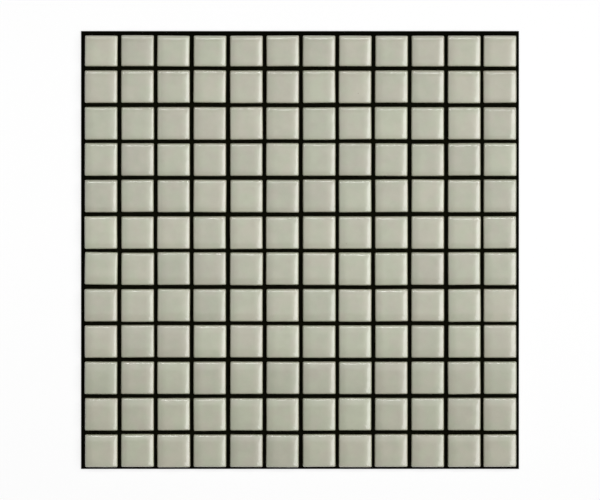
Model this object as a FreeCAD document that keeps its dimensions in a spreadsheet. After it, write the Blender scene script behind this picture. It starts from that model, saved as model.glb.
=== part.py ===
# Mosaic tile sheet: rows of small square glazed tiles, bonded at even joints to one thin backing sheet.
# The sheet lies flat. Its frame has +Z up through the tile faces, +Y towards the sheet's back edge, and
# its origin at the middle of the backing's underside, which is the face that is bedded in adhesive.
import FreeCAD, Part
import Sketcher
import os

PARTS_FOLDER = "parts"

# Driving dimensions, each written once: alias, value and meaning. Lengths are in millimetres.
SIZES = [
    ("tile_side", 22.4, "width of a tile at its widest, where the glazed edge meets the side"),
    ("tile_thickness", 6.0, "height of a tile from its foot to its face"),
    ("corner_cut", 0.4, "leg of the small flat across each upright corner"),
    ("cushion_width", 6.2, "how far in from the side the face starts to fall"),
    ("cushion_drop", 0.8, "how far the face has fallen where its curve ends"),
    ("arris_width", 1.1, "width in plan of the steep strip between curve and side"),
    ("arris_height", 1.4, "height of that strip"),
    ("draft_angle", 4.0, "lean of the sides towards the foot, in degrees"),
    ("joint_width", 2.6, "open joint between neighbouring tiles, at their widest"),
    ("tiles_per_row", 12, "tiles from left to right"),
    ("row_count", 12, "rows from back to front"),
    ("margin_left", 2.8, "backing that shows outside the tiles on the left"),
    ("margin_right", 2.1, "the same on the right"),
    ("margin_back", 3.1, "the same at the back"),
    ("margin_front", 1.8, "the same at the front"),
    ("backing_thickness", 1.0, "thickness of the backing sheet"),
]

# Expressions that several features share, written with the sheet's aliases
PITCH = "(sizes.tile_side + sizes.joint_width)"
SHOULDER_HEIGHT = "(sizes.tile_thickness - sizes.cushion_drop - sizes.arris_height)"
SHEET_WIDTH = (
    "(sizes.margin_left + sizes.tiles_per_row * sizes.tile_side"
    " + (sizes.tiles_per_row - 1) * sizes.joint_width + sizes.margin_right)"
)
SHEET_LENGTH = (
    "(sizes.margin_front + sizes.row_count * sizes.tile_side"
    " + (sizes.row_count - 1) * sizes.joint_width + sizes.margin_back)"
)

# The codes by which a sketch constraint means the start, end or centre of a curve, or the sketch's origin
START, END, CENTRE = range(1, 4)
ORIGIN = (-1, START)

# A square tile has one cushioned edge to each side, spread over a full turn in degrees
TILE_SIDES = 4
FULL_TURN = 360


def fill_sheet(doc):
    """The driving dimensions, one row each, with the alias that the features use."""
    sheet = doc.addObject("Spreadsheet::Sheet", "sizes")
    for row, (alias, value, meaning) in enumerate(SIZES, start=1):
        sheet.set(f"A{row}", alias)
        sheet.set(f"B{row}", str(value))
        sheet.setAlias(f"B{row}", alias)
        sheet.set(f"C{row}", meaning)
    doc.recompute()
    return sheet


def origin_feature(body, role):
    """A plane or axis of the body's own origin, found by its role, such as XY_Plane or Z_Axis."""
    return next(feature for feature in body.Origin.OriginFeatures if feature.Role == role)


def new_sketch(body, name, role):
    """An empty sketch on one of the body's own origin planes."""
    sketch = body.newObject("Sketcher::SketchObject", name)
    sketch.AttachmentSupport = [(origin_feature(body, role), "")]
    sketch.MapMode = "FlatFace"
    return sketch


def size_constraint(sketch, kind, first, second, name, expression):
    """A dimension from one (curve, point) pair to another, bound to the sheet."""
    index = sketch.addConstraint(Sketcher.Constraint(kind, *first, *second, 1.0))
    sketch.renameConstraint(index, name)
    sketch.setExpression(f"Constraints.{name}", expression)


def rectangle_sketch(body, name, width, length):
    """A rectangle centred on the origin of the XY plane, its two sizes bound to expressions."""
    sketch = new_sketch(body, name, "XY_Plane")
    corners = [FreeCAD.Vector(x, y, 0) for x, y in ((-1, -1), (1, -1), (1, 1), (-1, 1))]
    for corner, following in zip(corners, corners[1:] + corners[:1]):
        sketch.addGeometry(Part.LineSegment(corner, following))
    front, right, back, left = range(4)
    for side, following in ((front, right), (right, back), (back, left), (left, front)):
        sketch.addConstraint(Sketcher.Constraint("Coincident", side, END, following, START))
    for side in (front, back):
        sketch.addConstraint(Sketcher.Constraint("Horizontal", side))
    for side in (left, right):
        sketch.addConstraint(Sketcher.Constraint("Vertical", side))
    sketch.addConstraint(Sketcher.Constraint("Symmetric", front, START, right, END, *ORIGIN))
    size_constraint(sketch, "DistanceX", (front, START), (front, END), "width", width)
    size_constraint(sketch, "DistanceY", (right, START), (right, END), "length", length)
    return sketch


def pad(body, name, sketch, length):
    """The sketch raised upwards by a length from the sheet."""
    feature = body.newObject("PartDesign::Pad", name)
    feature.Profile = sketch
    feature.setExpression("Length", length)
    return feature


def upright_edges(shape):
    """Names of a square blank's edges that run along Z."""
    return [
        f"Edge{number}"
        for number, edge in enumerate(shape.Edges, start=1)
        if round(abs(edge.tangentAt(edge.FirstParameter).z)) == 1
    ]


def side_faces(shape):
    """Names of the same blank's faces that stand upright, the corner flats among them."""
    return [
        f"Face{number}"
        for number, face in enumerate(shape.Faces, start=1)
        if round(face.normalAt(0, 0).z) == 0
    ]


def cut_corners(body, blank):
    """The small flats across the four upright corners of the tile."""
    body.Document.recompute()
    feature = body.newObject("PartDesign::Chamfer", "corner_flats")
    feature.Base = (blank, upright_edges(blank.Shape))
    feature.setExpression("Size", "sizes.corner_cut")
    return feature


def lean_sides(body, blank):
    """The pressing draft: every side leans in below the shoulder, where the tile keeps its full width."""
    shoulder = body.newObject("PartDesign::Plane", "shoulder_plane")
    shoulder.AttachmentSupport = [(origin_feature(body, "XY_Plane"), "")]
    shoulder.MapMode = "FlatFace"
    shoulder.setExpression("AttachmentOffset.Base.z", SHOULDER_HEIGHT)
    body.Document.recompute()
    feature = body.newObject("PartDesign::Draft", "pressing_draft")
    feature.Base = (blank, side_faces(blank.Shape))
    feature.NeutralPlane = (shoulder, [""])
    feature.Reversed = True
    feature.setExpression("Angle", "sizes.draft_angle")
    return feature


def cushion_profile(body):
    """What is taken off one edge of the face: a curve that leaves the face level, then the steep arris.

    Seen along the edge, the outline runs from the face down the curve and the arris to the shoulder, and
    back outside the tile. The curve is a circle's arc whose centre lies straight below its start.
    """
    sketch = new_sketch(body, "cushion_profile", "XZ_Plane")
    vector = FreeCAD.Vector
    # A rough outline to start from: the constraints below bring every point to its place
    face_end, on_curve, curve_end = vector(5, 6, 0), vector(8, 5.7, 0), vector(11, 5, 0)
    shoulder, low_outside = vector(12, 4, 0), vector(17, 4, 0)
    high_outside, above_face = vector(17, 12, 0), vector(5, 12, 0)
    curve = sketch.addGeometry(Part.Arc(curve_end, on_curve, face_end))
    arris = sketch.addGeometry(Part.LineSegment(curve_end, shoulder))
    ledge = sketch.addGeometry(Part.LineSegment(shoulder, low_outside))
    outer = sketch.addGeometry(Part.LineSegment(low_outside, high_outside))
    top = sketch.addGeometry(Part.LineSegment(high_outside, above_face))
    inner = sketch.addGeometry(Part.LineSegment(above_face, face_end))
    for first, second in (
        ((curve, START), (arris, START)),
        ((arris, END), (ledge, START)),
        ((ledge, END), (outer, START)),
        ((outer, END), (top, START)),
        ((top, END), (inner, START)),
        ((inner, END), (curve, END)),
    ):
        sketch.addConstraint(Sketcher.Constraint("Coincident", *first, *second))
    for side in (ledge, top):
        sketch.addConstraint(Sketcher.Constraint("Horizontal", side))
    for side in (outer, inner):
        sketch.addConstraint(Sketcher.Constraint("Vertical", side))
    sketch.addConstraint(Sketcher.Constraint("Vertical", curve, CENTRE, curve, END))
    half_flat = "sizes.tile_side / 2 - sizes.cushion_width"
    curve_width = "sizes.cushion_width - sizes.arris_width"
    for kind, first, second, name, expression in (
        ("DistanceX", ORIGIN, (curve, END), "half_flat", half_flat),
        ("DistanceY", ORIGIN, (curve, END), "face_height", "sizes.tile_thickness"),
        ("DistanceX", (curve, END), (curve, START), "curve_width", curve_width),
        ("DistanceY", (curve, START), (curve, END), "curve_drop", "sizes.cushion_drop"),
        ("DistanceX", (arris, START), (arris, END), "arris_width", "sizes.arris_width"),
        ("DistanceY", (arris, END), (arris, START), "arris_height", "sizes.arris_height"),
        ("DistanceX", (ledge, START), (ledge, END), "overrun_out", "sizes.cushion_width"),
        ("DistanceY", (inner, END), (inner, START), "overrun_up", "sizes.cushion_width"),
    ):
        size_constraint(sketch, kind, first, second, name, expression)
    return sketch


def cushion_edges(body):
    """The pressed cushion: the profile cut along one edge of the face, then turned to all four edges."""
    cut = body.newObject("PartDesign::Pocket", "cushion_cut")
    cut.Profile = cushion_profile(body)
    cut.SideType = "Symmetric"
    cut.Type = "ThroughAll"
    around = body.newObject("PartDesign::PolarPattern", "cushion_around")
    around.Originals = [cut]
    around.Axis = (origin_feature(body, "Z_Axis"), [""])
    around.Angle = FULL_TURN
    around.Occurrences = TILE_SIDES
    body.Tip = around
    return around


def repeat_along_row(body, tile):
    """The finished tile repeated at the joint's pitch, as separate solids."""
    row = body.newObject("PartDesign::LinearPattern", "along_row")
    row.Originals = [tile]
    row.TransformMode = "Whole shape"
    row.Direction = (origin_feature(body, "X_Axis"), [""])
    row.Mode = "Spacing"
    row.setExpression("Offset", PITCH)
    row.setExpression("Occurrences", "sizes.tiles_per_row")
    body.Tip = row
    return row


def tile_row(doc, number):
    """One row of tiles. Row 1 is the back one, and the body's own origin is under its leftmost tile."""
    body = doc.addObject("PartDesign::Body", f"tile_row_{number:02d}")
    body.AllowCompound = True
    outline = rectangle_sketch(body, "tile_outline", "sizes.tile_side", "sizes.tile_side")
    blank = pad(body, "tile_blank", outline, "sizes.tile_thickness")
    blank = cut_corners(body, blank)
    lean_sides(body, blank)
    tile = cushion_edges(body)
    repeat_along_row(body, tile)
    body.setExpression(
        "Placement.Base.x",
        f"(sizes.margin_left - sizes.margin_right - (sizes.tiles_per_row - 1) * {PITCH}) / 2",
    )
    body.setExpression(
        "Placement.Base.y",
        f"(sizes.margin_front - sizes.margin_back + (sizes.row_count + 1 - 2 * {number}) * {PITCH}) / 2",
    )
    body.setExpression("Placement.Base.z", "sizes.backing_thickness")
    return body


def backing_sheet(doc):
    """The thin sheet under all the tiles, which also shows in the joints and as a rim around them."""
    body = doc.addObject("PartDesign::Body", "backing_sheet")
    outline = rectangle_sketch(body, "backing_outline", SHEET_WIDTH, SHEET_LENGTH)
    pad(body, "backing_pad", outline, "sizes.backing_thickness")
    return body


def check_document(doc, bodies):
    """Stops with the names of features that failed to build, or bodies with no valid solid."""
    failed = [item.Name for item in doc.Objects if {"Invalid", "Error"} & set(item.State)]
    if failed:
        raise RuntimeError(f"features that failed: {failed}")
    for body in bodies:
        if body.Shape.isNull() or not body.Shape.isValid() or not body.Shape.Solids:
            raise RuntimeError(f"{body.Label} has no valid solid")


def main():
    doc = FreeCAD.newDocument("mosaic_tile_sheet")
    sheet = fill_sheet(doc)
    bodies = [backing_sheet(doc)]
    for number in range(1, int(sheet.row_count) + 1):
        bodies.append(tile_row(doc, number))
    doc.recompute()
    check_document(doc, bodies)
    os.makedirs(PARTS_FOLDER, exist_ok=True)
    for body in bodies:
        body.Shape.exportStep(os.path.join(PARTS_FOLDER, f"{body.Label}.step"))
        print(body.Label, len(body.Shape.Solids), "solids", round(body.Shape.Volume, 1), "mm3")


main()
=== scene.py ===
# %% [markdown]
# # A sheet of glazed mosaic tiles
#
# The object is a flat square sheet of small glazed tiles. Each tile was pressed from clay, glazed and
# fired, and then set face up in even rows on one thin black backing. The joints are open, so the black
# shows between the tiles and as a narrow rim around them.
#
# Seen from above there are only two things to get right, and both are small. One is the cushioned edge of
# every tile, which turns a soft light into a bright line on one side and a shade on the other. The other is
# that no two tiles are quite alike. The cells below build one tile as a formula, vary it over the sheet,
# and then glaze it.

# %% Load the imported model, which is the fixed frame for everything below
import math

import bpy
import numpy as np
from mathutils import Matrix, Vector


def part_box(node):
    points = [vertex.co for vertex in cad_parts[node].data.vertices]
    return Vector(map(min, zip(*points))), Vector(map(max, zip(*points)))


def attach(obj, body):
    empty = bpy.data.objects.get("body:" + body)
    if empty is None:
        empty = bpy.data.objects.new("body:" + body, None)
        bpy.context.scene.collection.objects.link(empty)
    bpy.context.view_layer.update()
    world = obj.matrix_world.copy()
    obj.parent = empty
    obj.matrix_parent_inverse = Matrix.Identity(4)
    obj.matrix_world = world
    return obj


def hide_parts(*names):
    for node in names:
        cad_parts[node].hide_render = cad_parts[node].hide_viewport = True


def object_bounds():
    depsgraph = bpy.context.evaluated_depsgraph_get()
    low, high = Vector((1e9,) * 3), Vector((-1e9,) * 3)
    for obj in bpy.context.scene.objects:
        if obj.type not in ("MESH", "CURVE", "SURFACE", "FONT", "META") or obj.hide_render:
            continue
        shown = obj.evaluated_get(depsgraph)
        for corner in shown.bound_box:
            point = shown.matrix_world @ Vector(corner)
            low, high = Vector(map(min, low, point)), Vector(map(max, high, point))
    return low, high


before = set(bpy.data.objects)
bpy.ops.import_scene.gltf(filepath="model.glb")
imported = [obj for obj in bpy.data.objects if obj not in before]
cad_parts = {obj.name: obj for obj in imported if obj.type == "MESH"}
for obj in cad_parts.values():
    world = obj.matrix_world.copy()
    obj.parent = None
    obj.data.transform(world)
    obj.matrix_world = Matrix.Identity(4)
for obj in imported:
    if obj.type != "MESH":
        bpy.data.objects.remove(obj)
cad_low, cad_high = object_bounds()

MM = 0.001
cad_size = [round(side / MM, 1) for side in cad_high - cad_low]
print("frame nodes:", len(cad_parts), "size in mm:", cad_size)

# %% [markdown]
# ## Sizes that come from the frame
#
# The rows of tiles and the backing already have their real places in the frame, so nothing is typed again
# here: the side of a tile, the pitch from one tile to the next and the number of tiles all follow from the
# boxes of the nodes. Only what the frame doesn't hold, such as the roundness of an edge, gets a value of
# its own later.

# %% Read the rows and the backing
ROWS = sorted(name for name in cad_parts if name.startswith("tile_row_"))
row_boxes = {name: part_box(name) for name in ROWS}
first_low, first_high = row_boxes[ROWS[0]]
second_low = row_boxes[ROWS[1]][0]

TILE_SIDE = first_high.y - first_low.y
PITCH = first_low.y - second_low.y
TILES_IN_ROW = round((first_high.x - first_low.x - TILE_SIDE) / PITCH) + 1
TILE_FOOT = first_low.z
TILE_FACE = first_high.z
print("tile side", round(TILE_SIDE / MM, 2), "pitch", round(PITCH / MM, 2), "tiles in a row", TILES_IN_ROW)

# %% [markdown]
# ## The outline of a tile
#
# A tile's outline is a square with rounded corners. Every level of the tile has such an outline, only
# larger or smaller and more or less round, so it pays to write the outline once, in a form that takes any
# size and any corner radius.
#
# Each point of it is held as two directions. One says where the centre of its corner lies, and the other
# which way the point stands off that centre. Along a straight side the first slides from one corner to the
# next, while the second stays the same.

# %% The directions that carry any rounded square
CORNER_STEPS = 3
SIDE_STEPS = 10


def outline_directions():
    """Two arrays of directions in plan, to the corner's centre C and from there to the point U.

    The point of a rounded square with half side h and corner radius r is (h - r) C + r U. One quarter is an
    arc of 90 degrees with C fixed at (1, 1), then a side along which C slides to (-1, 1), in steps that are
    short near the corners, where the form changes most. The others are that quarter in quarter turns.
    """
    right_angle = np.pi / 2
    on_side = np.full(SIDE_STEPS - 1, right_angle)
    angle = np.concatenate([np.linspace(0, right_angle, CORNER_STEPS + 1), on_side])
    along = (1 - np.cos(np.pi * np.arange(1, SIDE_STEPS) / SIDE_STEPS)) / 2
    slide = np.concatenate([np.zeros(CORNER_STEPS + 1), along])
    to_corner = np.stack([1 - 2 * slide, np.ones_like(slide)], axis=1)
    to_point = np.stack([np.cos(angle), np.sin(angle)], axis=1)
    turns = np.arange(4) * right_angle
    turn = np.stack([np.cos(turns), -np.sin(turns), np.sin(turns), np.cos(turns)], axis=1).reshape(4, 2, 2)
    return [np.einsum("tij,pj->tpi", turn, part).reshape(-1, 2) for part in (to_corner, to_point)]


TO_CORNER, TO_POINT = outline_directions()
AROUND = len(TO_CORNER)
print("points around a tile:", AROUND)

# %% [markdown]
# ## The profile of a tile
#
# Cut through the middle, a tile shows one curve from the centre of its foot, out along the underside, up
# the pressed and slightly leaning side, over a round edge, and then along a long shallow fall, the cushion,
# to the level middle of the face. The cushion is what the light plays on. It is a parabola here, because
# the shade on a real one grows evenly towards the edge, which means that its slope does too.
#
# The edge is an arc that starts upright and stops at the slope with which the cushion arrives, so the two
# join without a crease.

# %% The profile as inset and height
DRAFT = math.radians(4)
CUSHION_WIDTH = 6.2 * MM
CUSHION_SLOPE = math.radians(17)
EDGE_RADIUS = 1.5 * MM
FOOT_RADIUS = 0.35 * MM
FOOT_RINGS = ((6.0, 0.0), (1.0, 0.0), (0.3, 0.3))
WALL_LEVELS = np.array([0.8, 1.1, 1.4, 1.7, 2.0, 3.2]) * MM
EDGE_RINGS = 8
CUSHION_RINGS = 7
FACE_RINGS = 3


def tile_profile():
    """Arrays of inset from the tile's widest outline, and height above its foot, from foot to face.

    The foot's rings are given in shares of its radius, and the wall's stand close where the glaze will end.
    The edge is a circle's arc of radius R: at angle a its inset is R (1 - cos a), and its height is R sin a
    over the arc's foot. The cushion's height is the face's less D times the square of (W - inset) / (W -
    arc's end), where W is its width, and D makes its slope at the arc's end the arc's own.
    """
    top = TILE_FACE - TILE_FOOT
    arc = np.linspace(0, np.pi / 2 - CUSHION_SLOPE, EDGE_RINGS)
    edge_inset = EDGE_RADIUS * (1 - np.cos(arc))
    edge_height = EDGE_RADIUS * np.sin(arc)
    fall_width = CUSHION_WIDTH - edge_inset[-1]
    fall = math.tan(CUSHION_SLOPE) * fall_width / 2
    edge_base = top - fall - edge_height[-1]
    wall_height = np.concatenate([[FOOT_RADIUS], WALL_LEVELS])
    wall_inset = (edge_base - wall_height) * math.tan(DRAFT)
    foot_in, foot_up = FOOT_RADIUS * np.array(FOOT_RINGS).T
    foot_inset = wall_inset[0] + foot_in
    cushion_inset = edge_inset[-1] + fall_width * np.linspace(0, 1, CUSHION_RINGS + 1)[1:]
    cushion_height = top - fall * ((CUSHION_WIDTH - cushion_inset) / fall_width) ** 2
    face_inset = np.linspace(CUSHION_WIDTH, TILE_SIDE / 2, FACE_RINGS + 2)[1:-1]
    inset = np.concatenate([foot_inset, wall_inset, edge_inset, cushion_inset, face_inset])
    face_height = np.full(len(face_inset), top)
    height = np.concatenate([foot_up, wall_height, edge_base + edge_height, cushion_height, face_height])
    return inset, height, fall, edge_base


INSET, HEIGHT, CUSHION_FALL, EDGE_BASE = tile_profile()
CUSHION_END = EDGE_RADIUS * (1 - math.sin(CUSHION_SLOPE))
RINGS = len(INSET)
print("rings:", RINGS, "widest at", round(HEIGHT[INSET.argmin()] / MM, 2), "mm above the foot")

# %% [markdown]
# ## One row of tiles, all different
#
# Tiles of one firing differ by a tenth of a millimetre or so in size and place, and by a fraction of a
# degree in how they lie. Whole rows and columns stand off together too, because the tiles are set in a tray
# that was cut by hand. Their glaze also flowed, so that a face is never quite level. These differences are
# what makes the rows look laid and not printed. They are drawn from seeded random numbers, one set for each
# tile, and the whole row is worked out as one array of tiles, rings and points around.

# %% Random differences between the tiles
PLACE_SPREAD = 0.10 * MM
ROW_SPREAD = 0.08 * MM
COLUMN_SPREAD = 0.18 * MM
COLUMN_SEED = 21915
SIDE_SPREAD = 0.06 * MM
TURN_SPREAD = math.radians(0.25)
TILT_SPREAD = math.radians(0.25)
CUSHION_SPREAD = 0.10
WAVE_COUNT = 5
WAVE_LENGTHS_MM = (9, 18)
TILE_NUMBERS = (0, 100)


def spread(random, size, shape):
    """Normal random numbers of a given spread, none more than twice the spread off."""
    return random.normal(0, size, shape).clip(-2 * size, 2 * size)


COLUMN_OFFSETS = spread(np.random.default_rng(COLUMN_SEED), COLUMN_SPREAD, TILES_IN_ROW)


def tile_differences(seed):
    """For each tile of a row: offset in plan, change of half side, turn, slope along X and Y, change of
    cushion, waves and colour values.

    Along X the offset is the column's and the tile's own, and along Y the row's and the tile's own.
    """
    random = np.random.default_rng(seed)
    count = TILES_IN_ROW
    shared = np.stack([COLUMN_OFFSETS, np.full(count, spread(random, ROW_SPREAD, 1)[0])], axis=1)
    return {
        "offset": shared + spread(random, PLACE_SPREAD, (count, 2)),
        "grow": spread(random, SIDE_SPREAD, (count, 2)),
        "turn": random.normal(0, TURN_SPREAD, count),
        "tilt": random.normal(0, TILT_SPREAD, (count, 2)),
        "cushion": spread(random, CUSHION_SPREAD, count),
        "wave_way": random.uniform(0, 2 * np.pi, (count, WAVE_COUNT)),
        "wave_phase": random.uniform(0, 2 * np.pi, (count, WAVE_COUNT)),
        "wave_length": random.uniform(*WAVE_LENGTHS_MM, (count, WAVE_COUNT)) * MM,
        "shade": spread(random, 1.0, count),
        "hue": spread(random, 1.0, count),
        "number": random.uniform(*TILE_NUMBERS, count),
    }


print("the columns stand off by", (COLUMN_OFFSETS / MM).round(2).tolist(), "mm")

# %% [markdown]
# The glaze stops short of the foot, as it has to on a tile that is fired standing on a shelf. Its lower
# edge is a thin rounded step that wanders up and down around the tile. That line is made twice: the mesh
# gets the step, and a value stored on every point says how far above the line it lies, so that the material
# can change from glaze to bare clay at the same place.

# %% Where the glaze ends
GLAZE_LINE = 1.35 * MM
GLAZE_WANDER = 0.22 * MM
WANDER_WAVES = ((3, 0.6), (7, 0.4))
GLAZE_STEP = 0.08 * MM
GLAZE_EDGE = 0.5 * MM


def glaze_line(differ):
    """Height of the glaze's lower edge around each tile: a mean, and waves that close after one turn.

    Each wave has its count around the tile and its share of the wander, and each tile its own phases.
    """
    around = np.linspace(0, 2 * np.pi, AROUND, endpoint=False)
    phases = differ["wave_phase"]
    waves = [
        share * np.sin(turns * around + phases[:, [wave]])
        for wave, (turns, share) in enumerate(WANDER_WAVES)
    ]
    return GLAZE_LINE + GLAZE_WANDER * sum(waves)


def glaze_step(above):
    """How far the outline stands in at a height above the line: by the whole step on clay, not at all on
    glaze, and between them by 1 - c c (3 - 2 c), where c grows evenly from 0 to 1 over the glaze's edge.
    """
    cover = np.clip(above / GLAZE_EDGE + 0.5, 0, 1)
    return GLAZE_STEP * (1 - cover * cover * (3 - 2 * cover))


line_ends = [round((GLAZE_LINE + side * GLAZE_WANDER) / MM, 2) for side in (-1, 1)]
print("the glaze ends between", line_ends, "mm above the foot")

# %% [markdown]
# Each tile has its own width of cushion, so the rings of its profile move in or out a little. And the
# corners are where a mould's two cushions meet. Taking the lower of the two would leave a crease along the
# diagonal, like a mitre, and glaze has none. So both falls are added up, less a share of their product,
# which keeps the corner from dropping by twice the fall. A sum of smooth falls is smooth everywhere.

# %% The rings of a tile and the fall of its corners
GLAZE_COAT = 0.06 * MM
HALF_SIDE = TILE_SIDE / 2 + GLAZE_COAT
CORNER_RADIUS = 0.9 * MM
CORNER_GROWTH = 0.08
CORNER_SHARE = 0.17


def cushion_insets(differ):
    """Insets (tiles, rings) with each tile's own width of cushion.

    A ring moves in or out by the tile's change of width, in full at the cushion's inner end, and by a share
    that falls evenly to nothing at the edge's arc on one side and at the middle of the face on the other.
    """
    outer_share = np.clip((INSET - CUSHION_END) / (CUSHION_WIDTH - CUSHION_END), 0, 1)
    inner_share = (TILE_SIDE / 2 - INSET) / (TILE_SIDE / 2 - CUSHION_WIDTH)
    return INSET + CUSHION_WIDTH * differ["cushion"][:, None] * np.minimum(outer_share, inner_share)


def ring_outlines(differ):
    """Outlines in plan (tiles, rings, around, 2): the rounded square of every inset, wider by the coat.

    The corner radius grows with the inset, and past the cushion it keeps its share of the side.
    """
    half = HALF_SIDE - cushion_insets(differ)
    radius = CORNER_RADIUS + CORNER_GROWTH * np.minimum(INSET, CUSHION_WIDTH)
    radius = radius * np.minimum(1, half / (TILE_SIDE / 2 - CUSHION_WIDTH))
    return (half - radius)[..., None, None] * TO_CORNER + radius[..., None, None] * TO_POINT


def cushion_falls(inset, differ):
    """Fall of the face at an inset from one side: C ((W - inset) / (W - E))^2, with C the whole fall, W the
    tile's own width of cushion and E the inset where the edge's arc ends. It is C outside E and 0 inside W.
    """
    width = (CUSHION_WIDTH * (1 + differ["cushion"]))[:, None, None]
    share = np.clip((width - inset) / (width - CUSHION_END), 0, 1)
    return CUSHION_FALL * share ** 2


def corner_lowering(outlines, differ):
    """How much lower a point lies than by the nearer side's fall alone, which the profile already has.

    Both together make a + b - S a b / C, where a and b are the falls from the two sides, C is the whole
    fall and S the share.
    """
    across, along = (cushion_falls(HALF_SIDE - abs(outlines[..., axis]), differ) for axis in (0, 1))
    both = across + along - CORNER_SHARE * across * along / CUSHION_FALL
    return both - np.maximum(across, along)


corner_fall = CUSHION_FALL * (2 - CORNER_SHARE)
print("the face falls by", round(CUSHION_FALL / MM, 2), "mm, at the corners by", round(corner_fall / MM, 2))

# %% [markdown]
# Now the row can be put together. What comes last matters: the waves and the tilt change how high a tile's
# face stands, so each tile is then moved up or down until its highest point is level with the frame's face.
# Its foot goes a little way into the backing, as it is bedded there, so that no tilted tile stands over a
# gap.

# %% The points of a whole row
BEDDING = 0.1 * MM
WAVE_HEIGHT = 0.008 * MM
WAVES_FROM = 0.6


def glaze_waves(x, y, differ):
    """Height of the glaze's waves: a sum of equal sines, each with its own way, length and phase."""
    keys = ("wave_way", "wave_phase", "wave_length")
    way, phase, length = (differ[key][:, None, None, :] for key in keys)
    along = x[..., None] * np.cos(way) + y[..., None] * np.sin(way)
    return WAVE_HEIGHT * np.sin(2 * np.pi * along / length + phase).sum(axis=-1)


def row_points(left, middle, differ):
    """Points (tiles, rings, around, 3) of a row, and how far each lies above its tile's glaze line.

    In plan a point is its ring's outline, less the glaze's step, scaled to the tile's own sides, turned and
    put in its place. In height it is the profile, plus waves that fade out down the wall, less the corner's
    lowering, plus a tilt that grows across the tile. Lowering and tilt shrink evenly towards the foot,
    which goes down by the bedding instead.
    """
    above = HEIGHT[None, :, None] - glaze_line(differ)[:, None, :]
    outlines = ring_outlines(differ)
    plan = outlines - glaze_step(above)[..., None] * TO_POINT
    plan = plan * (1 + differ["grow"][:, None, None, :] / (TILE_SIDE / 2))
    x, y = plan[..., 0], plan[..., 1]
    top = TILE_FACE - TILE_FOOT
    on_face = np.clip((HEIGHT / top - WAVES_FROM) / (1 - WAVES_FROM), 0, 1)[None, :, None]
    raised = (HEIGHT / top)[None, :, None]
    z = HEIGHT[None, :, None] + on_face * glaze_waves(x, y, differ)
    z = z - corner_lowering(outlines, differ) * np.minimum(1, HEIGHT / EDGE_BASE)[None, :, None]
    z = z + raised * (x * differ["tilt"][:, 0, None, None] + y * differ["tilt"][:, 1, None, None])
    z = z - BEDDING * (1 - raised)
    z = z - (z.max(axis=(1, 2), keepdims=True) - top)
    turn = differ["turn"][:, None, None]
    centre_x = left + TILE_SIDE / 2 + PITCH * np.arange(TILES_IN_ROW) + differ["offset"][:, 0]
    turned_x = x * np.cos(turn) - y * np.sin(turn) + centre_x[:, None, None]
    turned_y = x * np.sin(turn) + y * np.cos(turn) + middle + differ["offset"][:, 1][:, None, None]
    return np.stack([turned_x, turned_y, z + TILE_FOOT], axis=-1), above


# %% [markdown]
# ## From arrays to a mesh
#
# The faces follow from the order of the points alone: four neighbours on two rings make a quad, and the
# first and last ring are closed by a fan around a pole in their middle. The numbers are worked out for one
# tile and then shifted by a whole tile's points for each of the others.

# %% The faces of a tile and the mesh of a row
def tile_faces():
    """Quads between neighbouring rings and the two fans that close them, as point numbers of one tile."""
    ring = np.arange(RINGS * AROUND).reshape(RINGS, AROUND)
    beside = np.roll(ring, -1, axis=1)
    quads = np.stack([ring[:-1], beside[:-1], beside[1:], ring[1:]], axis=-1).reshape(-1, 4)
    foot_pole, face_pole = RINGS * AROUND, RINGS * AROUND + 1
    foot_fan = np.stack([beside[0], ring[0], np.full(AROUND, foot_pole)], axis=-1)
    face_fan = np.stack([ring[-1], beside[-1], np.full(AROUND, face_pole)], axis=-1)
    return quads, np.concatenate([foot_fan, face_fan])


QUADS, FANS = tile_faces()
POINTS_IN_TILE = RINGS * AROUND + 2


def add_values(mesh, name, values):
    """A number stored on every point of the mesh, which a material reads by its name."""
    attribute = mesh.attributes.new(name, "FLOAT", "POINT")
    attribute.data.foreach_set("value", np.ascontiguousarray(values, dtype=np.float32).ravel())


def row_mesh(name, left, middle, trim, seed):
    """The mesh of one row, its tiles trimmed along Y, with the glaze line and the colours on its points."""
    differ = tile_differences(seed)
    differ["grow"][:, 1] -= trim / 2
    points, above = row_points(left, middle, differ)
    poles = points[:, [0, -1]].mean(axis=2)
    pole_above = above[:, [0, -1]].mean(axis=2)
    points = np.concatenate([points.reshape(TILES_IN_ROW, -1, 3), poles], axis=1)
    above = np.concatenate([above.reshape(TILES_IN_ROW, -1), pole_above], axis=1)
    shift = np.arange(TILES_IN_ROW)[:, None, None] * POINTS_IN_TILE
    quads = (QUADS + shift).reshape(-1, 4).tolist()
    fans = (FANS + shift).reshape(-1, 3).tolist()
    mesh = bpy.data.meshes.new(name)
    mesh.from_pydata(points.reshape(-1, 3), [], quads + fans)
    mesh.polygons.foreach_set("use_smooth", np.ones(len(mesh.polygons), dtype=bool))
    add_values(mesh, "above_glaze_line_mm", above / MM)
    for key in ("shade", "hue", "number"):
        add_values(mesh, f"tile_{key}", np.repeat(differ[key], POINTS_IN_TILE))
    return mesh


print("triangles in a tile:", 2 * len(QUADS) + len(FANS))

# %% [markdown]
# ## Small tools for shaders
#
# A material is a graph of nodes. A short helper keeps the graphs readable: it makes a node and fills its
# inputs in a single line. Three more use it for what comes again and again, which is arithmetic, taking a
# value from one range to another, and mixing two colours.

# %% Helpers that make nodes
def node(tree, kind, inputs=None, **settings):
    """A new node, its settings set, and each named input either linked or given a constant."""
    made = tree.nodes.new(f"ShaderNode{kind}")
    for key, value in settings.items():
        setattr(made, key, value)
    for key, value in (inputs or {}).items():
        if isinstance(value, bpy.types.NodeSocket):
            tree.links.new(value, made.inputs[key])
        else:
            made.inputs[key].default_value = value
    return made


def compute(tree, operation, first, second=0.0, third=0.0):
    """The result of one Math node."""
    return node(tree, "Math", {0: first, 1: second, 2: third}, operation=operation).outputs[0]


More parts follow.
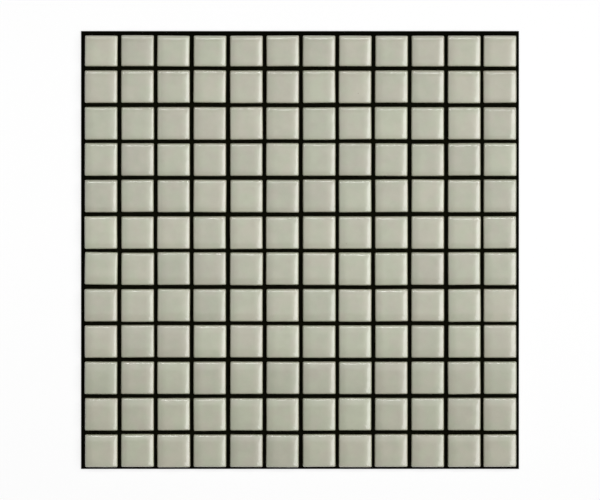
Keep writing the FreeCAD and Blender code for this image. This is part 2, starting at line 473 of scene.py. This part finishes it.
def rescale(tree, value, low, high, new_low=0.0, new_high=1.0):
    """The value taken from one range to another with soft ends."""
    inputs = {"Value": value, "From Min": low, "From Max": high, "To Min": new_low, "To Max": new_high}
    return node(tree, "MapRange", inputs, interpolation_type="SMOOTHSTEP").outputs[0]


def mixed(tree, factor, first, second):
    """Two colours mixed by a factor. A Mix node has its colours at inputs 6 and 7 and at output 2."""
    return node(tree, "Mix", {0: factor, 6: first, 7: second}, data_type="RGBA").outputs[2]


# %% [markdown]
# An effect that several materials use is a node group: a small graph with sockets of its own, built once
# and placed wherever it is wanted, each time with other values.

# %% Helpers that make and place a group
def new_group(name, inputs, outputs):
    """An empty node group with its sockets: inputs are (name, kind, default), outputs are (name, kind)."""
    group = bpy.data.node_groups.new(name, "ShaderNodeTree")
    for socket, kind, default in inputs:
        made = group.interface.new_socket(socket, in_out="INPUT", socket_type=f"NodeSocket{kind}")
        if default is not None:
            made.default_value = default
    for socket, kind in outputs:
        group.interface.new_socket(socket, in_out="OUTPUT", socket_type=f"NodeSocket{kind}")
    entry = group.nodes.new("NodeGroupInput")
    leave = group.nodes.new("NodeGroupOutput")
    return group, entry.outputs, leave.inputs


def place_group(tree, group, inputs):
    """The group placed in a material, with its values."""
    placed = tree.nodes.new("ShaderNodeGroup")
    placed.node_tree = group
    for key, value in inputs.items():
        if isinstance(value, bpy.types.NodeSocket):
            tree.links.new(value, placed.inputs[key])
        else:
            placed.inputs[key].default_value = value
    return placed.outputs


# %% [markdown]
# ## Effects that the finishes share
#
# Fired clay and glaze are both a little blotchy, because the kiln's heat and the thickness of the coat
# vary. And every matt or satin surface here has a fine grain, from the clay's particles, the glaze's orange
# peel or the rubber's skin. The first effect gives two slow masks, one for light and dark and one for a
# shift of hue. The second gives a height for a Bump node, and a mask with which the gloss varies, in
# patches about eight times as large as the grain.
#
# The noise of the blotches is four-dimensional. Its fourth number is different for every tile, so that a
# blotch never runs on from one tile to its neighbour across the joint.

# %% The kiln's blotches
MM_IN_METRE = 1000.0
HUE_SHIFT = 31.7
BLOTCH_RANGE = (0.3, 0.7)


def kiln_blotches():
    """A group with two masks from 0 to 1, for shade and for hue: noise of a given size in millimetres."""
    inputs = [("Vector", "Vector", None), ("Tile", "Float", 0.0), ("Size mm", "Float", 8.0)]
    group, given, result = new_group("kiln_blotches", inputs, [("Shade", "Float"), ("Hue", "Float")])
    scale = compute(group, "DIVIDE", MM_IN_METRE, given["Size mm"])
    for socket, shift in (("Shade", 0.0), ("Hue", HUE_SHIFT)):
        where = compute(group, "ADD", given["Tile"], shift)
        noise = node(
            group, "TexNoise", {"Vector": given["Vector"], "W": where, "Scale": scale, "Detail": 2.0},
            noise_dimensions="4D",
        )
        group.links.new(rescale(group, noise.outputs[0], *BLOTCH_RANGE), result[socket])
    return group


BLOTCHES = kiln_blotches()
print("group", BLOTCHES.name, "with sockets", [item.name for item in BLOTCHES.interface.items_tree])

# %% The fine grain
PATCH_SCALE = 0.12
PATCH_RANGE = (0.35, 0.65)


def fine_grain():
    """A group with a height and a mask: noise of a given size in millimetres, and its larger patches."""
    inputs = [("Vector", "Vector", None), ("Size mm", "Float", 0.4)]
    group, given, result = new_group("fine_grain", inputs, [("Height", "Float"), ("Patches", "Float")])
    scale = compute(group, "DIVIDE", MM_IN_METRE, given["Size mm"])
    grain = node(group, "TexNoise", {"Vector": given["Vector"], "Scale": scale, "Detail": 3.0})
    patch_scale = compute(group, "MULTIPLY", scale, PATCH_SCALE)
    patches = node(group, "TexNoise", {"Vector": given["Vector"], "Scale": patch_scale, "Detail": 1.0})
    group.links.new(grain.outputs[0], result["Height"])
    group.links.new(rescale(group, patches.outputs[0], *PATCH_RANGE), result["Patches"])
    return group


GRAIN = fine_grain()
print("group", GRAIN.name, "with sockets", [item.name for item in GRAIN.interface.items_tree])

# %% [markdown]
# ## The glazed tile
#
# The glaze is a satin grey-green with a warm cast in places, over a pale biscuit that shows only below the
# glaze line. Its colour comes from three layers: each tile's own shade and hue, the kiln's blotches inside
# the tile, and a few tiny specks of iron.
#
# Specks could be set one by one. A Voronoi texture does it for any surface: it fills space with cells, each
# around a random point. The distance to that point makes the dot, and the cell's random colour says whether
# it has one.

# %% The glaze's colour
def srgb(red, green, blue):
    """A colour given in the 0 to 255 of a picture, as the shader's linear values."""
    shares = np.array([red, green, blue]) / 255
    linear = np.where(shares <= 0.04045, shares / 12.92, ((shares + 0.055) / 1.055) ** 2.4)
    return (*linear.tolist(), 1.0)


GLAZE_GREEN = srgb(144, 147, 124)
GLAZE_WARM = srgb(148, 145, 126)
HUE_OF_TILES = 0.22
SHADE_OF_TILES = 0.042
SHADE_OF_BLOTCHES = 0.08
BLOTCH_SIZE_MM = 9.0
IRON_SPECK = srgb(96, 90, 74)
SPECK_CELL = 8.0 * MM
SPECK_SIZE = 0.55 * MM
SPECK_SHARE = 0.02
SPECK_COVER = 0.7


def iron_specks(tree, place):
    """A mask of small soft dots, one at the point of a few of the cells."""
    cells = node(tree, "TexVoronoi", {"Vector": place, "Scale": 1 / SPECK_CELL})
    dot_size = SPECK_SIZE / SPECK_CELL
    dot = rescale(tree, cells.outputs["Distance"], 0.5 * dot_size, dot_size, 1.0, 0.0)
    chance = node(tree, "SeparateColor", {0: cells.outputs["Color"]}).outputs[0]
    return compute(tree, "MULTIPLY", dot, compute(tree, "LESS_THAN", chance, SPECK_SHARE))


def glaze_colour(tree, place, stored):
    """Green to warm by hue, times a light that varies by tile and blotch, and the specks over it."""
    number = stored["tile_number"]
    blotch = place_group(tree, BLOTCHES, {"Vector": place, "Tile": number, "Size mm": BLOTCH_SIZE_MM})
    hue = compute(tree, "MULTIPLY_ADD", stored["tile_hue"], HUE_OF_TILES, blotch["Hue"])
    hue = compute(tree, "MINIMUM", compute(tree, "MAXIMUM", hue, 0.0), 1.0)
    coloured = mixed(tree, hue, GLAZE_GREEN, GLAZE_WARM)
    by_tile = compute(tree, "MULTIPLY", stored["tile_shade"], SHADE_OF_TILES)
    by_blotch = compute(tree, "MULTIPLY_ADD", blotch["Shade"], SHADE_OF_BLOTCHES, 1 - SHADE_OF_BLOTCHES / 2)
    light = compute(tree, "ADD", by_tile, by_blotch)
    shaded = node(tree, "VectorMath", {0: coloured, "Scale": light}, operation="SCALE").outputs[0]
    cover = compute(tree, "MULTIPLY", iron_specks(tree, place), SPECK_COVER)
    return mixed(tree, cover, shaded, IRON_SPECK)


print("glaze from", np.round(GLAZE_GREEN[:3], 3).tolist(), "to", np.round(GLAZE_WARM[:3], 3).tolist())

# %% [markdown]
# Satin glaze has two kinds of shine at once: a broad soft one from the matt crystals in it, and a narrower
# one from its skin. The Principled shader gives both, the first with its own roughness and the second with
# its coat. Bare clay has no skin and is rougher, so the coat ends with the glaze. The line between them is
# the stored value that the mesh brought along, made a little ragged by the grain.

# %% The tile's material
BISCUIT = srgb(205, 192, 170)
CLAY_SHADE = 0.88
GRAIN_SIZE_MM = 0.5
PEEL_SIZE_MM = 1.6
PEEL_HEIGHT_MM = 0.02
GLAZE_GRAIN_MM = 0.012
CLAY_GRAIN_MM = 0.06
LINE_RAGGED_MM = 0.2
LINE_WIDTH_MM = 0.2
SATIN_ROUGHNESS = (0.48, 0.56)
CLAY_ROUGHER = 0.4
SATIN_SHINE = 1.1
SKIN_ROUGHNESS = 0.15
SKIN_INDEX = 1.6


def clay_colour(tree, grain):
    """The biscuit's colour, a little lighter in the patches of the grain."""
    light = rescale(tree, grain["Patches"], 0.0, 1.0, CLAY_SHADE, 1.0)
    return node(tree, "VectorMath", {0: BISCUIT[:3], "Scale": light}, operation="SCALE").outputs[0]


def tile_relief(tree, place, grain, glazed):
    """The normal from two heights: the fine grain, higher on clay than on glaze, and an orange peel."""
    peel = place_group(tree, GRAIN, {"Vector": place, "Size mm": PEEL_SIZE_MM})
    peeled = compute(tree, "MULTIPLY", peel["Height"], PEEL_HEIGHT_MM)
    grained = rescale(tree, glazed, 0.0, 1.0, CLAY_GRAIN_MM, GLAZE_GRAIN_MM)
    height = compute(tree, "MULTIPLY_ADD", grain["Height"], grained, peeled)
    return node(tree, "Bump", {"Height": height, "Distance": MM, "Strength": 1.0}).outputs[0]


def tile_material():
    """Glaze over biscuit, changing at the glaze line: colours, two kinds of shine, and relief."""
    material = bpy.data.materials.new("satin_glaze")
    material.use_nodes = True
    tree = material.node_tree
    tree.nodes.clear()
    place = node(tree, "TexCoord").outputs["Object"]
    stored = {
        name: node(tree, "Attribute", attribute_name=name).outputs["Fac"]
        for name in ("above_glaze_line_mm", "tile_shade", "tile_hue", "tile_number")
    }
    grain = place_group(tree, GRAIN, {"Vector": place, "Size mm": GRAIN_SIZE_MM})
    line = compute(tree, "MULTIPLY_ADD", grain["Height"], LINE_RAGGED_MM, stored["above_glaze_line_mm"])
    glazed = rescale(tree, line, 0.0, LINE_WIDTH_MM)
    clay = compute(tree, "SUBTRACT", 1.0, glazed)
    satin = rescale(tree, grain["Patches"], 0.0, 1.0, *SATIN_ROUGHNESS)
    shader = node(
        tree, "BsdfPrincipled",
        {
            "Base Color": mixed(tree, glazed, clay_colour(tree, grain), glaze_colour(tree, place, stored)),
            "Roughness": compute(tree, "MULTIPLY_ADD", clay, CLAY_ROUGHER, satin),
            "Specular IOR Level": SATIN_SHINE,
            "Coat Weight": glazed,
            "Coat Roughness": SKIN_ROUGHNESS,
            "Coat IOR": SKIN_INDEX,
            "Normal": tile_relief(tree, place, grain, glazed),
        },
    )
    node(tree, "OutputMaterial", {"Surface": shader.outputs[0]})
    print("material", material.name, "with", len(tree.nodes), "nodes")
    return material


SATIN_GLAZE = tile_material()

# %% [markdown]
# ## Laying the rows
#
# Every row replaces one node of the frame: the solid stays for collision and weight, and this piece is what
# is seen. Each row has its own seed, so a rerun lays the same sheet again.
#
# The real sheet has two irregularities that are more than chance. Its rows stand a tenth of a millimetre
# further apart than its columns do, which adds up over the sheet, so the rows drift away from the one that
# stands in its place. And its back row is shorter than the others, trimmed on both sides, but most on the
# back one. The frame keeps the even pitch and the equal tiles that the sheet is meant to have.

# %% Twelve rows of glazed tiles
FIRST_SEED = 120
ROW_DRIFT = 0.095 * MM
DRIFT_FROM = 9
BACK_ROW_TRIM = 1.3 * MM
TRIM_SHIFT = BACK_ROW_TRIM / 3


def lay_row(number, node_name):
    """One row's piece in the place of its node, riding on the sheet's only body. Row 0 is the back one."""
    low, high = row_boxes[node_name]
    piece_name = f"glazed_{node_name}"
    trim, shift = (BACK_ROW_TRIM, TRIM_SHIFT) if number == 0 else (0.0, 0.0)
    middle = (low.y + high.y) / 2 + ROW_DRIFT * (DRIFT_FROM - number) - shift
    mesh = row_mesh(piece_name, low.x, middle, trim, FIRST_SEED + number)
    mesh.materials.append(SATIN_GLAZE)
    piece = bpy.data.objects.new(piece_name, mesh)
    bpy.context.scene.collection.objects.link(piece)
    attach(piece, "root")
    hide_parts(node_name)
    return piece


laid_rows = [lay_row(number, node_name) for number, node_name in enumerate(ROWS)]
print("rows laid:", len(laid_rows), "with", sum(len(piece.data.polygons) for piece in laid_rows), "faces")

# %% [markdown]
# ## The black backing
#
# The backing is a sheet of black rubber on a woven carrier. It is cut with a blade, so its top edge is very
# slightly rounded and its sides wander by a few hundredths of a millimetre. A box would do for its shape
# from far away, but its bare straight edges look drawn. So a small profile is carried along the outline
# instead.

# %% The backing's mesh
CUT_WANDER = 0.04 * MM
CUT_STEP = 2.0 * MM
WANDER_SMOOTHINGS = 2
RIM_ROUND = 0.12 * MM
RIM_BEND = 0.3
BACKING_SEED = 77


def backing_outline(low, high):
    """Points around the rectangle at even steps, and the way out from each, diagonal in the corners."""
    size = np.array([high.x - low.x, high.y - low.y])
    count = int(round(size.mean() / CUT_STEP))
    along = np.arange(count) / count
    corners = np.array([[low.x, low.y], [high.x, low.y], [high.x, high.y], [low.x, high.y]])
    following = np.roll(corners, -1, axis=0)
    points = corners[:, None] + along[None, :, None] * (following - corners)[:, None]
    outward = np.array([[0.0, -1], [1, 0], [0, 1], [-1, 0]])
    ways = np.repeat(outward[:, None], count, axis=1)
    ways[:, 0] = outward + np.roll(outward, 1, axis=0)
    return points.reshape(-1, 2), ways.reshape(-1, 2)


def backing_mesh(name):
    """The backing's profile carried around its outline, closed by one flat face above and one below.

    The profile has five points: the underside's edge, the two ends of the side, and two more over the
    rounded top edge, all placed by shares of that edge's radius. Each stands in from the outline by its
    inset and by the blade's wander, which is seeded noise, smoothed.
    """
    low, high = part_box("backing_sheet")
    outline, ways = backing_outline(low, high)
    random = np.random.default_rng(BACKING_SEED)
    wander = random.uniform(0, 1, len(outline))
    for _ in range(WANDER_SMOOTHINGS):
        wander = (np.roll(wander, 1) + 2 * wander + np.roll(wander, -1)) / 4
    bend = RIM_BEND * RIM_ROUND
    inset = np.array([bend, 0, 0, bend, RIM_ROUND])
    height = np.array([low.z, low.z + bend, high.z - RIM_ROUND, high.z - bend, high.z])
    inward = inset[:, None] + CUT_WANDER * wander[None, :]
    plan = outline[None] - inward[..., None] * ways[None]
    points = np.concatenate([plan, np.broadcast_to(height[:, None, None], plan.shape[:2] + (1,))], axis=-1)
    ring = np.arange(points.shape[0] * points.shape[1]).reshape(points.shape[:2])
    beside = np.roll(ring, -1, axis=1)
    quads = np.stack([ring[:-1], beside[:-1], beside[1:], ring[1:]], axis=-1).reshape(-1, 4)
    faces = quads.tolist() + [ring[-1].tolist(), ring[0][::-1].tolist()]
    mesh = bpy.data.meshes.new(name)
    mesh.from_pydata(points.reshape(-1, 3), [], faces)
    return mesh


BACKING_MESH = backing_mesh("black_backing_sheet")
print("backing faces:", len(BACKING_MESH.polygons))

# %% [markdown]
# The rubber's colour is as deep as the real one's: almost no light comes back from it. Only the joints are
# painted a little lighter than the rim, as painted light that the tiles' sides throw into them. Whether a
# point lies in a joint or on the rim follows from its place, inside or outside the field of tiles.

# %% The backing's material
BACKING_BLACK = srgb(3, 3, 1)
# The joints' lighter colour is painted light, bounced off the tiles' sides into them, not a colour of the
# rubber.
BACKING_PAINTED_LIGHT = srgb(17, 17, 8)
PAINTED_LIGHT_ON_RIM = 0.15
PAINTED_LIGHT_RANGE = (0.7, 1.0)
RUBBER_GRAIN_SIZE_MM = 0.25
RUBBER_GRAIN_MM = 0.06
WEAVE_PITCH = 2.5 * MM
WEAVE_HEIGHT_MM = 0.05
RUBBER_ROUGHNESS = (0.7, 0.85)
RUBBER_SHINE = 0.015


def painted_light_in_joints(tree, axes, grain):
    """A mask of painted light bounced off the tiles' sides: strong inside the field of tiles, weak on the
    rim, and patchy on both.
    """
    field_low, field_high = row_boxes[ROWS[-1]][0], row_boxes[ROWS[0]][1]
    inside = 1.0
    for axis, low, high in (("X", field_low.x, field_high.x), ("Y", field_low.y, field_high.y)):
        off_middle = compute(tree, "ABSOLUTE", compute(tree, "SUBTRACT", axes[axis], (low + high) / 2))
        inside = compute(tree, "MULTIPLY", compute(tree, "LESS_THAN", off_middle, (high - low) / 2), inside)
    joint_light = compute(tree, "MULTIPLY_ADD", inside, 1 - PAINTED_LIGHT_ON_RIM, PAINTED_LIGHT_ON_RIM)
    return compute(tree, "MULTIPLY", joint_light, rescale(tree, grain["Patches"], 0.0, 1.0, *PAINTED_LIGHT_RANGE))


def rubber_relief(tree, axes, grain):
    """The normal from a weave, the higher of two crossing sines, and the fine grain of the skin."""
    angles = [compute(tree, "MULTIPLY", axes[axis], 2 * math.pi / WEAVE_PITCH) for axis in ("X", "Y")]
    weave = compute(tree, "MAXIMUM", *[compute(tree, "SINE", angle) for angle in angles])
    skin = compute(tree, "MULTIPLY", grain["Height"], RUBBER_GRAIN_MM)
    height = compute(tree, "MULTIPLY_ADD", weave, WEAVE_HEIGHT_MM, skin)
    return node(tree, "Bump", {"Height": height, "Distance": MM, "Strength": 1.0}).outputs[0]


def backing_material():
    """Deep black rubber with painted light in the joints, and a faint weave pressed through from the
    carrier.
    """
    material = bpy.data.materials.new("black_rubber")
    material.use_nodes = True
    tree = material.node_tree
    tree.nodes.clear()
    place = node(tree, "TexCoord").outputs["Object"]
    axes = node(tree, "SeparateXYZ", {0: place}).outputs
    grain = place_group(tree, GRAIN, {"Vector": place, "Size mm": RUBBER_GRAIN_SIZE_MM})
    shader = node(
        tree, "BsdfPrincipled",
        {
            "Base Color": mixed(tree, painted_light_in_joints(tree, axes, grain), BACKING_BLACK, BACKING_PAINTED_LIGHT),
            "Roughness": rescale(tree, grain["Patches"], 0.0, 1.0, *RUBBER_ROUGHNESS),
            "Specular IOR Level": RUBBER_SHINE,
            "Normal": rubber_relief(tree, axes, grain),
        },
    )
    node(tree, "OutputMaterial", {"Surface": shader.outputs[0]})
    print("material", material.name, "with", len(tree.nodes), "nodes")
    return material


BLACK_RUBBER = backing_material()

# %% The backing in its place
BACKING_MESH.materials.append(BLACK_RUBBER)
backing = bpy.data.objects.new("black_backing_sheet", BACKING_MESH)
bpy.context.scene.collection.objects.link(backing)
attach(backing, "root")
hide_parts("backing_sheet")
print("piece", backing.name, "in the place of backing_sheet")

# %% [markdown]
# ## Floor, light and camera
#
# The sheet lies on a white floor under soft studio light. The main light is as broad as a bank of windows.
# It comes from the right and a little from the front, low enough for the cushioned right edges to mirror
# it. A thin strip at the back does the same for the back edges, where it draws a fine line. A weak strip
# close above lights the back rows more than the front ones, and an even white surrounding fills the rest.
# Together they light a level surface by about one, so that a colour renders about as it is written. The
# floor's white is partly a glow of its own, which the camera and reflections see, and by which the sheet
# isn't lit.
#
# The two main lights stand metres away. A near one would be mirrored in another place on every tile, and
# the photo shows the bright edges in the same place on all of them.

# %% The floor
FLOOR_SIZE = 12.0
FLOOR_GAP = 0.02 * MM
FLOOR_WHITE = 0.97
FLOOR_GLOW = 0.75


def seen_directly(tree):
    """1 for rays from the camera, in reflections and through glass, and 0 for all others."""
    path = node(tree, "LightPath").outputs
    seen = compute(tree, "MAXIMUM", path["Is Camera Ray"], path["Is Glossy Ray"])
    return compute(tree, "MAXIMUM", seen, path["Is Transmission Ray"])


def white_floor():
    """A large white plane a hair below the sheet. Seen directly, part of it is a glow."""
    half = FLOOR_SIZE / 2
    mesh = bpy.data.meshes.new("floor")
    corners = [(-half, -half), (half, -half), (half, half), (-half, half)]
    mesh.from_pydata([(x, y, cad_low.z - FLOOR_GAP) for x, y in corners], [], [(0, 1, 2, 3)])
    floor = bpy.data.objects.new("floor", mesh)
    bpy.context.scene.collection.objects.link(floor)
    material = bpy.data.materials.new("white_floor")
    material.use_nodes = True
    tree = material.node_tree
    tree.nodes.clear()
    matt = node(tree, "BsdfDiffuse", {"Color": (FLOOR_WHITE, FLOOR_WHITE, FLOOR_WHITE, 1.0)})
    glow = node(tree, "Emission", {"Color": (1.0, 1.0, 1.0, 1.0), "Strength": 1.0})
    share = compute(tree, "MULTIPLY", seen_directly(tree), FLOOR_GLOW)
    both = node(tree, "MixShader", {0: share, 1: matt.outputs[0], 2: glow.outputs[0]})
    node(tree, "OutputMaterial", {"Surface": both.outputs[0]})
    mesh.materials.append(material)
    return floor


floor = white_floor()
print("stage:", floor.name)

# %% The lamps
KEY_TURN = math.radians(-13)
KEY_RISE = math.radians(48)
KEY_DISTANCE = 8.0
KEY_SIZE = (13.6, 5.4)
KEY_BRIGHTNESS = 3.3
BACK_TURN = math.radians(90)
BACK_RISE = math.radians(56)
BACK_DISTANCE = 5.0
BACK_SIZE = (6.0, 0.13)
BACK_BRIGHTNESS = 22.0
OVERHEAD_SIZE = (2.4, 0.3)
OVERHEAD_PLACE = Vector((0.0, 0.07, 0.35))
OVERHEAD_BRIGHTNESS = 0.55
SHEET_MIDDLE = Vector((0.0, 0.0, 0.0))


def out_from_middle(turn, rise, distance):
    """The point at a distance from the sheet's middle, turned from +X towards +Y and raised off the level.

    With turn t, rise r and distance d it is (d cos r cos t, d cos r sin t, d sin r).
    """
    level = distance * math.cos(rise)
    return Vector((level * math.cos(turn), level * math.sin(turn), distance * math.sin(rise)))


def softbox(name, size, place, aim, brightness):
    """A rectangular light that faces a point. Its power is pi times its area times its brightness."""
    light = bpy.data.lights.new(name, "AREA")
    light.shape = "RECTANGLE"
    light.size, light.size_y = size
    light.energy = math.pi * size[0] * size[1] * brightness
    lamp = bpy.data.objects.new(name, light)
    lamp.location = place
    lamp.rotation_euler = (place - aim).to_track_quat("Z", "Y").to_euler()
    lamp.visible_camera = False
    bpy.context.scene.collection.objects.link(lamp)
    return lamp


key_place = out_from_middle(KEY_TURN, KEY_RISE, KEY_DISTANCE)
back_place = out_from_middle(BACK_TURN, BACK_RISE, BACK_DISTANCE)
under_overhead = Vector((OVERHEAD_PLACE.x, OVERHEAD_PLACE.y, 0.0))
lamps = [
    softbox("key", KEY_SIZE, key_place, SHEET_MIDDLE, KEY_BRIGHTNESS),
    softbox("back_strip", BACK_SIZE, back_place, SHEET_MIDDLE, BACK_BRIGHTNESS),
    softbox("overhead_strip", OVERHEAD_SIZE, OVERHEAD_PLACE, under_overhead, OVERHEAD_BRIGHTNESS),
]
print("lamps and their power:", {lamp.name: round(lamp.data.energy, 1) for lamp in lamps})

# %% The surrounding
SURROUND_SHARE = 0.07


def surrounding():
    """A white world: full white to the camera, in reflections and through glass, a share of it as light."""
    world = bpy.data.worlds.new("white_room")
    world.use_nodes = True
    tree = world.node_tree
    tree.nodes.clear()
    strength = rescale(tree, seen_directly(tree), 0.0, 1.0, SURROUND_SHARE, 1.0)
    background = node(tree, "Background", {"Color": (1.0, 1.0, 1.0, 1.0), "Strength": strength})
    node(tree, "OutputWorld", {"Surface": background.outputs[0]})
    return world


bpy.context.scene.world = surrounding()
print("world:", bpy.context.scene.world.name)

# %% [markdown]
# The photograph looks straight down from far away, so the camera does too. A long lens keeps the sides of
# the outer tiles from showing. The distance follows from the sheet's width in the picture.

# %% The camera
LENS = 300.0
SENSOR = 36.0
SHEET_PIXELS = 438
FRAME_PIXELS = 600


def camera_above():
    """A camera straight above the middle, as far up as makes the sheet fill its share of the frame."""
    camera = bpy.data.cameras.new("camera")
    camera.lens = LENS
    camera.sensor_width = SENSOR
    low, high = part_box("backing_sheet")
    frame_width = (high.x - low.x) * FRAME_PIXELS / SHEET_PIXELS
    distance = frame_width * LENS / SENSOR
    camera.clip_end = 4 * distance
    eye = bpy.data.objects.new("camera", camera)
    eye.location = ((low.x + high.x) / 2, (low.y + high.y) / 2, high.z + distance)
    bpy.context.scene.collection.objects.link(eye)
    return eye


bpy.context.scene.camera = camera_above()
bpy.context.scene.view_settings.view_transform = "Standard"
print("the camera stands", round(bpy.context.scene.camera.location.z, 3), "m above the floor")
